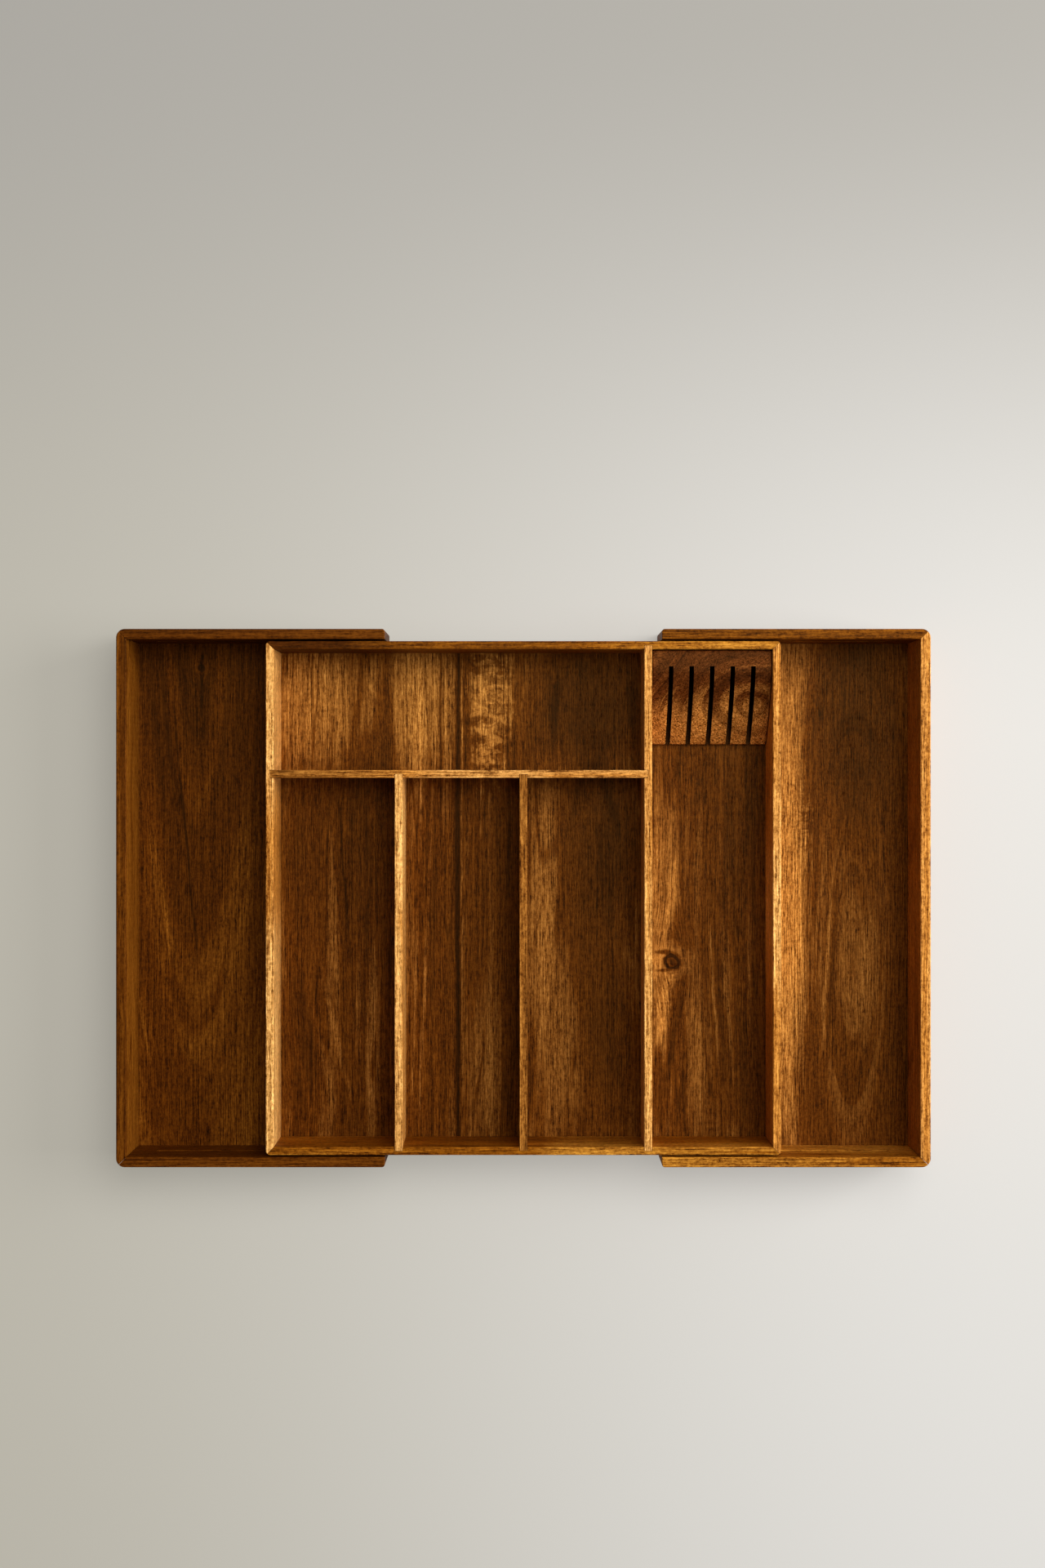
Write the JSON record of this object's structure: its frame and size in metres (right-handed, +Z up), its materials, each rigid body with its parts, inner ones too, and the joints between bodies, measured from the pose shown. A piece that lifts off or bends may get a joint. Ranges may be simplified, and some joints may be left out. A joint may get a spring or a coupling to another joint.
{
  "type": "expandable cutlery tray",
  "caption": "Expandable wooden cutlery tray: a divided middle tray with a loose slotted knife block, and an extension tray that slides out at each side.",
  "frame": {"origin": "centre of the footprint on the surface that the tray lies on, with both extensions pulled out", "axes": "+X to the right along the pull of the extensions, +Y towards the back where the knife block is, +Z up out of the open bays"},
  "size_m": [0.56, 0.37, 0.054],
  "materials": {
    "extension_wall": "oiled, satin",
    "extension_floor": "oiled, satin",
    "middle_wall": "oiled, satin",
    "middle_floor": "oiled, satin",
    "divider": "oiled, satin",
    "knife_block": "oiled, satin",
    "dowel": "bare, matt"
  },
  "bodies": {
    "middle_tray": {"middle_left_wall": "middle_wall", "middle_right_wall": "middle_wall", "middle_front_wall": "middle_wall", "middle_back_wall": "middle_wall", "middle_floor": "middle_floor", "long_divider": "divider", "cross_divider": "divider", "left_divider": "divider", "centre_divider": "divider", "front_left_pin": "dowel", "front_right_pin": "dowel", "back_left_pin": "dowel", "back_right_pin": "dowel"},
    "left_extension": {"left_end_wall": "extension_wall", "left_front_arm": "extension_wall", "left_back_arm": "extension_wall", "left_floor": "extension_floor"},
    "right_extension": {"right_end_wall": "extension_wall", "right_front_arm": "extension_wall", "right_back_arm": "extension_wall", "right_floor": "extension_floor"},
    "knife_block": {"knife_block": "knife_block"}
  },
  "joints": [
    {"name": "left_slide", "type": "slide", "parent": "middle_tray", "child": "left_extension", "axis": [1, 0, 0], "range_m": [0, 0.095]},
    {"name": "right_slide", "type": "slide", "parent": "middle_tray", "child": "right_extension", "axis": [-1, 0, 0], "range_m": [0, 0.095]},
    {"name": "knife_block_lift", "type": "slide", "parent": "middle_tray", "child": "knife_block", "axis": [0, 0, 1], "range_m": [0, 0.06]}
  ]
}
